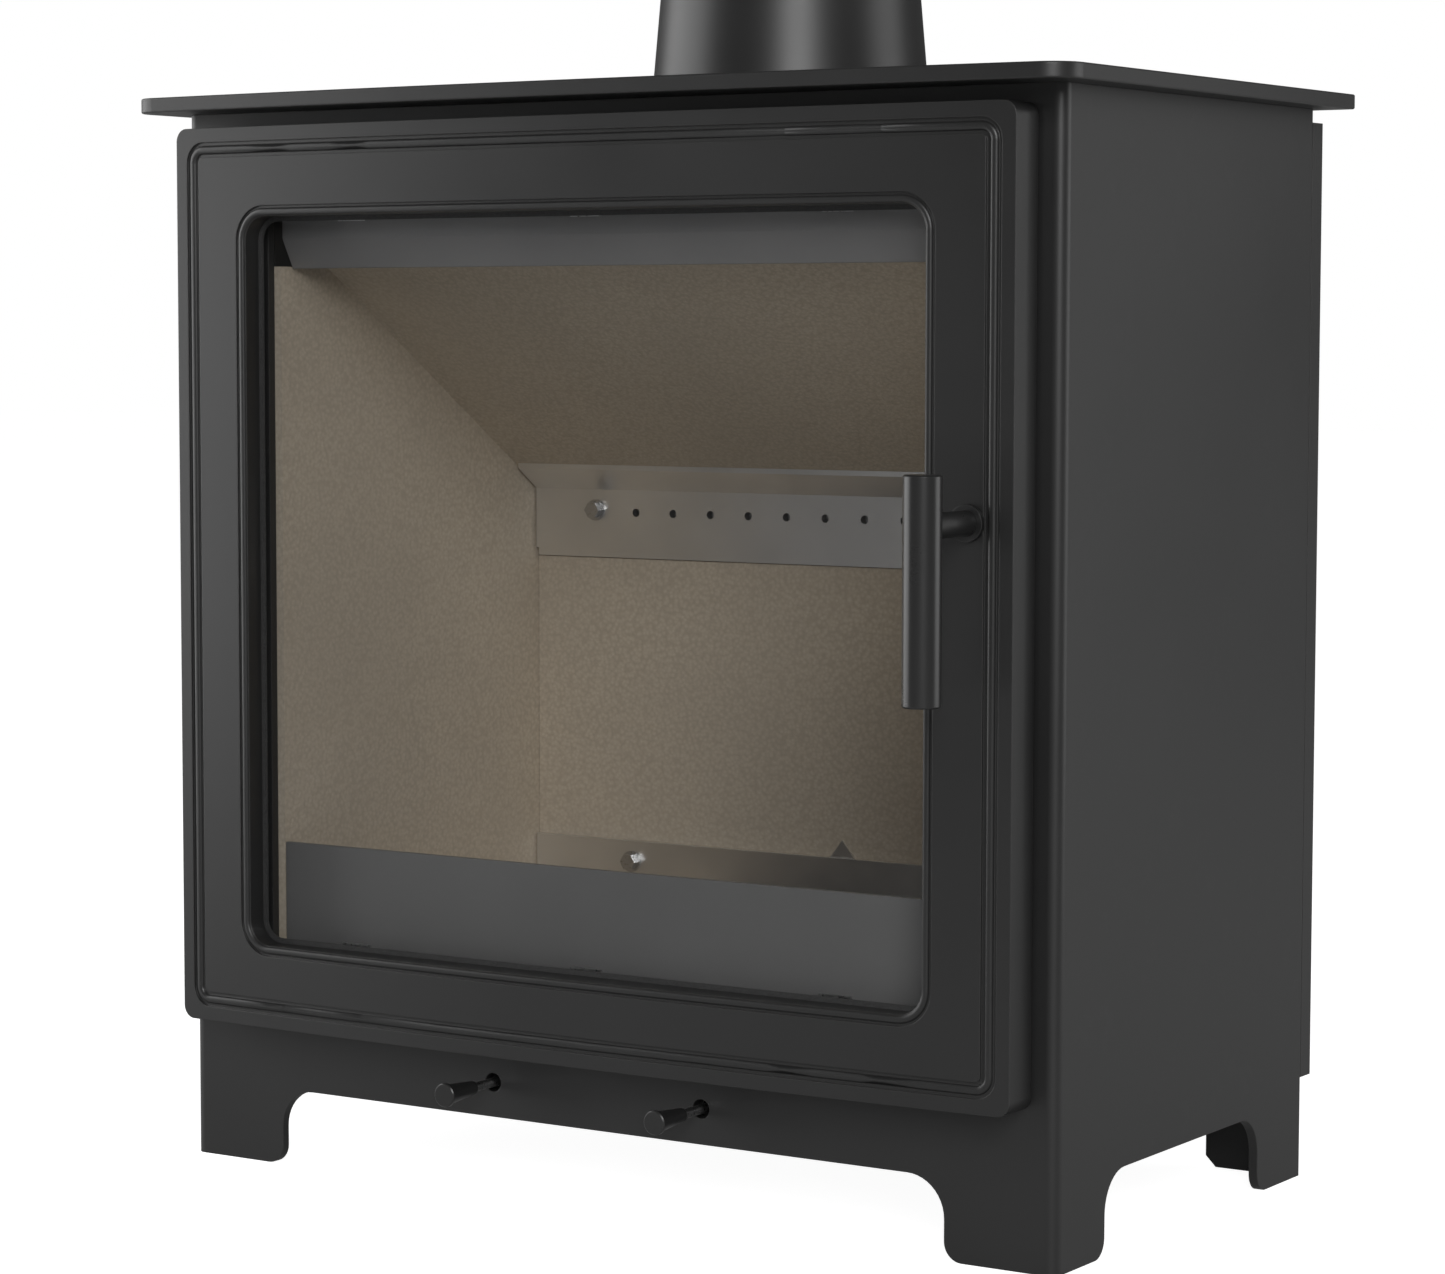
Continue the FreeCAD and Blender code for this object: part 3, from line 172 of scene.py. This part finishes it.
# texture scales are per metre, depths in metres
PAINT_DRIFT_SCALE = 5.0
PAINT_SPECK_SCALE = 1100.0
PAINT_SPECK_DEPTH = 0.00012
PAINT_SCUFF_SCALE = 38.0
FLAKE_SCALE = 420.0
FLAKE_DEPTH = 0.0006
BRICK_PATCH_SCALE = 9.0
SCRATCH_SCALE = 700.0
SCRATCH_DEPTH = 0.0001
STEEL_TONE_SCALE = 24.0
HAZE_SCALE = 12.0
HAZE_ALPHA = (0.17, 0.19)
SMEAR_SCALE = 70.0
SMEAR_ROUGHNESS = (0.03, 0.07)
FIBRE_SCALE = 1500.0
FIBRE_DEPTH = 0.0004

# lighter grey mixed in along sharp paint edges: a painted edge highlight
EDGE_HIGHLIGHT_COLOUR = (0.09, 0.088, 0.085)
BRICK_PALE = (0.72, 0.63, 0.50)
BRICK_DARK = (0.56, 0.49, 0.39)
BRICK_AGED = (0.50, 0.44, 0.36)
GLASS_COLOUR = (0.02, 0.02, 0.02, 1.0)
ROPE_DARK = (0.012, 0.012, 0.012)
ROPE_PALE = (0.04, 0.04, 0.04)


def stove_paint(name, grey, rough, grain, edge):
    """Satin black stove paint: fine spatter, slow tone drift, faint scuffs, and a painted highlight that
    lightens the sharp edges.
    """
    material, tree, shader = new_material(name)
    shader.inputs["Specular IOR Level"].default_value = 0.5
    drift = noise(tree, PAINT_DRIFT_SCALE, 3.0)
    speck = noise(tree, PAINT_SPECK_SCALE, 2.0)
    scuff = noise(tree, PAINT_SCUFF_SCALE, 6.0, 0.7)
    normal, edge_highlight_mask = soft_edges(tree, edge)
    base = mix_colour(tree, remap(tree, drift, 0.0, 1.0), grey_colour(grey * 0.9), grey_colour(grey * 1.12))
    # lighten the sharp edges towards the edge colour: a painted highlight
    base = mix_colour(tree, remap(tree, edge_highlight_mask, 0.0, 0.35, 0.0, 1.0), base, EDGE_HIGHLIGHT_COLOUR)
    tree.links.new(base, shader.inputs["Base Color"])
    satin = remap(tree, drift, rough - 0.03, rough + 0.04)
    rubbed = node(tree, "ShaderNodeMath", operation="MULTIPLY")
    tree.links.new(satin, rubbed.inputs[0])
    tree.links.new(remap(tree, scuff, 1.0, 0.88, 0.55, 0.8), rubbed.inputs[1])
    tree.links.new(rubbed.outputs[0], shader.inputs["Roughness"])
    bump(tree, shader, speck, grain, PAINT_SPECK_DEPTH, normal)
    return material


def vermiculite():
    """Pressed mineral board: fine flakes, warm patches, matte."""
    material, tree, shader = new_material("vermiculite_board")
    shader.inputs["Specular IOR Level"].default_value = 0.2
    shader.inputs["Roughness"].default_value = 0.95
    flake = node(tree, "ShaderNodeTexVoronoi", Scale=FLAKE_SCALE)
    tree.links.new(object_position(tree), flake.inputs["Vector"])
    patch = noise(tree, BRICK_PATCH_SCALE, 5.0)
    warm = mix_colour(tree, remap(tree, flake.outputs["Distance"], 0.0, 1.0, 0.05, 0.75),
                      BRICK_PALE, BRICK_DARK)
    aged = mix_colour(tree, remap(tree, patch, 0.0, 0.4), warm, BRICK_AGED)
    tree.links.new(aged, shader.inputs["Base Color"])
    bump(tree, shader, flake.outputs["Distance"], 0.35, FLAKE_DEPTH)
    return material


def plain_steel(name, grey, rough):
    """Bare or plated steel with fine scratches and slow tone changes."""
    material, tree, shader = new_material(name)
    shader.inputs["Metallic"].default_value = 1.0
    scratch = noise(tree, SCRATCH_SCALE, 2.0)
    tone = noise(tree, STEEL_TONE_SCALE, 3.0)
    base = mix_colour(tree, remap(tree, tone, 0.0, 1.0), grey_colour(grey * 0.94), grey_colour(grey * 1.05))
    tree.links.new(base, shader.inputs["Base Color"])
    tree.links.new(remap(tree, scratch, rough - 0.06, rough + 0.1), shader.inputs["Roughness"])
    bump(tree, shader, scratch, 0.12, SCRATCH_DEPTH)
    return material


def smoked_glass():
    """Dark clear glass with a faint uneven haze."""
    material, tree, shader = new_material("ceramic_glass")
    shader.inputs["Base Color"].default_value = GLASS_COLOUR
    shader.inputs["IOR"].default_value = 1.5
    haze = noise(tree, HAZE_SCALE, 3.0)
    smear = noise(tree, SMEAR_SCALE, 4.0)
    tree.links.new(remap(tree, haze, *HAZE_ALPHA), shader.inputs["Alpha"])
    tree.links.new(remap(tree, smear, *SMEAR_ROUGHNESS), shader.inputs["Roughness"])
    return material


def seal_rope():
    """Dark, rough glass fibre."""
    material, tree, shader = new_material("glass_fibre_rope")
    shader.inputs["Roughness"].default_value = 0.9
    fibre = noise(tree, FIBRE_SCALE, 2.0)
    base = mix_colour(tree, remap(tree, fibre, 0.0, 1.0), ROPE_DARK, ROPE_PALE)
    tree.links.new(base, shader.inputs["Base Color"])
    bump(tree, shader, fibre, 0.5, FIBRE_DEPTH)
    return material


PAINT = stove_paint("satin_black_paint", grey=0.016, rough=0.42, grain=0.12, edge=0.0009)
CAST = stove_paint("satin_black_cast", grey=0.016, rough=0.38, grain=0.15, edge=0.0008)
# lighter grey copy of the black paint for the log guard: painted light, standing in for the light that
# reaches it through the glass
INNER = stove_paint("painted_light_interior_paint", grey=0.17, rough=0.4, grain=0.12, edge=0.0009)
# still lighter grey copy of the black paint for the air-wash deflector: painted light, standing in for the
# light falling on it inside the firebox
WASH = stove_paint("painted_light_deflector_paint", grey=0.26, rough=0.4, grain=0.12, edge=0.0009)
SMOOTH = stove_paint("smooth_black", grey=0.016, rough=0.3, grain=0.04, edge=0.0005)
BRICK = vermiculite()
STEEL = plain_steel("zinc_steel", grey=0.55, rough=0.3)
BARE = plain_steel("brushed_bar_steel", grey=0.86, rough=0.36)
GLASS = smoked_glass()
ROPE = seal_rope()

SLOT_MATERIALS = {
    "painted_steel": PAINT,
    "painted_cast_iron": CAST,
    "plain_steel": STEEL,
    "black_handle_metal": SMOOTH,
    "vermiculite": BRICK,
    "ceramic_glass": GLASS,
    "seal_rope": ROPE,
}
NODE_MATERIALS = {
    "secondary_air_bar": BARE,
    "rear_brick_retainer": BARE,
    # the log guard and air-wash deflector take the lighter paints, which carry painted light
    "log_guard": INNER,
    "air_wash_deflector": WASH,
}


def dress_nodes():
    """Give every CAD node the material of its slot, or one of its own."""
    for part in frame["record"]["subparts"]:
        name = part["node"]
        materials = frame["nodes"][name].data.materials
        materials.clear()
        materials.append(NODE_MATERIALS.get(name, SLOT_MATERIALS[part["material_slot"]]))


# ---------------------------------------------------------------- mesh pieces


def new_mesh_object(name, shape, material, smooth):
    mesh = bpy.data.meshes.new(name)
    shape.to_mesh(mesh)
    shape.free()
    for face in mesh.polygons:
        face.use_smooth = smooth
    mesh.materials.append(material)
    item = bpy.data.objects.new(name, mesh)
    SCENE.collection.objects.link(item)
    return item


def rounded_loop(half_x, low_z, high_z, bend, y, step):
    """Points around an upright rounded rectangle, about one step apart."""
    points = []
    centres = ((half_x - bend, high_z - bend), (bend - half_x, high_z - bend),
               (bend - half_x, low_z + bend), (half_x - bend, low_z + bend))
    arc_steps = max(LEAST_ARC_STEPS, round(bend * math.pi / 2 / step))
    for corner, (cx, cz) in enumerate(centres):
        for i in range(arc_steps):
            angle = math.pi / 2 * (corner + i / arc_steps)
            points.append(Vector((cx + bend * math.cos(angle), y, cz + bend * math.sin(angle))))
        angle = math.pi / 2 * (corner + 1)
        start = Vector((cx + bend * math.cos(angle), y, cz + bend * math.sin(angle)))
        nx, nz = centres[(corner + 1) % 4]
        end = Vector((nx + bend * math.cos(angle), y, nz + bend * math.sin(angle)))
        count = max(1, round((end - start).length / step))
        points.extend(start.lerp(end, i / count) for i in range(count))
    return points


def loop_frames(points):
    """For each point of a closed loop in an XZ plane: the point, and two directions across the loop."""
    frames = []
    side = Vector((0.0, 1.0, 0.0))
    for i, point in enumerate(points):
        along = (points[(i + 1) % len(points)] - points[i - 1]).normalized()
        frames.append((point, along.cross(side).normalized(), side))
    return frames


def add_closed_tube(shape, centres, radius, sides, across):
    """Tube through a closed row of centres; across gives each ring's two directions."""
    rings = []
    for centre, (u, v) in zip(centres, across):
        rings.append([shape.verts.new(centre + radius * (math.cos(a) * u + math.sin(a) * v))
                      for a in (2 * math.pi * k / sides for k in range(sides))])
    for i, ring in enumerate(rings):
        following = rings[(i + 1) % len(rings)]
        for k in range(sides):
            m = (k + 1) % sides
            shape.faces.new((ring[k], ring[m], following[m], following[k]))


def strand_centres(frames, way, start):
    """Centres of one strand wound around the rope; way is 1 or -1, start is its first angle."""
    centres = []
    for i, (point, out, side) in enumerate(frames):
        phase = 2 * math.pi * STRAND_TURNS * i / len(frames)
        angle = way * phase + start
        weave = WEAVE_DEPTH * way * math.cos(STRANDS_EACH_WAY * phase)
        reach = ROPE_RADIUS - STRAND_RADIUS - STRAND_INSET + weave
        centres.append(point + reach * (math.cos(angle) * out + math.sin(angle) * side))
    return centres


def make_braided_rope():
    """Door seal: a core with strands plaited over and under each other."""
    low, high = [Vector(corner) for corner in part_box("door_rope")]
    middle_y = (low.y + high.y) / 2
    loop = rounded_loop(high.x - ROPE_RADIUS, low.z + ROPE_RADIUS, high.z - ROPE_RADIUS,
                        ROPE_BEND, middle_y, ROPE_STEP)
    frames = loop_frames(loop)
    across = [(out, side) for _, out, side in frames]
    shape = bmesh.new()
    add_closed_tube(shape, loop, ROPE_RADIUS - CORE_INSET, CORE_SIDES, across)
    for way in (-1, 1):
        for k in range(STRANDS_EACH_WAY):
            centres = strand_centres(frames, way, 2 * math.pi * k / STRANDS_EACH_WAY)
            add_closed_tube(shape, centres, STRAND_RADIUS, STRAND_SIDES, across)
    piece = new_mesh_object("door_rope_braid", shape, ROPE, True)
    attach(piece, "door")
    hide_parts("door_rope")


# ---------------------------------------------------------------- stage, lights, camera


def make_floor():
    """Plain floor, brighter to the camera than to the stove."""
    half = FLOOR_SIZE / 2
    shape = bmesh.new()
    corners = ((-half, -half), (half, -half), (half, half), (-half, half))
    shape.faces.new([shape.verts.new((x, y, 0.0)) for x, y in corners])
    material, tree, shader = new_material("floor_surface")
    shader.inputs["Base Color"].default_value = FLOOR_COLOUR + (1.0,)
    shader.inputs["Roughness"].default_value = 0.9
    shader.inputs["Specular IOR Level"].default_value = 0.0
    shader.inputs["Emission Color"].default_value = WHITE
    path = tree.nodes.new("ShaderNodeLightPath")
    glow = remap(tree, path.outputs["Is Camera Ray"], FLOOR_GLOW, FLOOR_SEEN_GLOW, 0.0, 1.0)
    tree.links.new(glow, shader.inputs["Emission Strength"])
    item = new_mesh_object("floor", shape, material, False)


def make_world():
    """White surround for the camera and a dimmer one for the stove."""
    world = bpy.data.worlds.new("studio")
    world.use_nodes = True
    tree = world.node_tree
    background = tree.nodes["Background"]
    background.inputs["Color"].default_value = WHITE
    path = tree.nodes.new("ShaderNodeLightPath")
    strength = remap(tree, path.outputs["Is Camera Ray"], AMBIENT, 1.0, 0.0, 1.0)
    tree.links.new(strength, background.inputs["Strength"])
    SCENE.world = world


def make_softbox(name, azimuth, distance, height, width, tall, glow):
    """Softbox aimed at the stove; azimuth turns from straight ahead towards the stove's right side."""
    data = bpy.data.lights.new(name, "AREA")
    data.shape = "RECTANGLE"
    data.size = width
    data.size_y = tall
    data.energy = glow * math.pi * width * tall
    item = bpy.data.objects.new(name, data)
    SCENE.collection.objects.link(item)
    turn = math.radians(azimuth)
    place = (distance * math.sin(turn), -distance * math.cos(turn), height)
    item.location = place
    direction = Vector(AIM) - Vector(place)
    item.rotation_euler = direction.to_track_quat("-Z", "Y").to_euler()


def make_camera():
    data = bpy.data.cameras.new("camera")
    data.lens = CAMERA_LENS
    data.sensor_width = CAMERA_SENSOR
    data.shift_x, data.shift_y = CAMERA_SHIFT
    data.clip_end = CAMERA_FAR
    item = bpy.data.objects.new("camera", data)
    SCENE.collection.objects.link(item)
    item.location = CAMERA_PLACE
    item.rotation_euler = (math.pi / 2 - CAMERA_TILT_DOWN, 0.0, CAMERA_TURN)
    SCENE.camera = item


def make_studio():
    make_floor()
    make_world()
    for softbox in SOFTBOXES:
        make_softbox(*softbox)
    make_camera()
    SCENE.view_settings.view_transform = "Standard"


dress_nodes()
make_braided_rope()
make_studio()
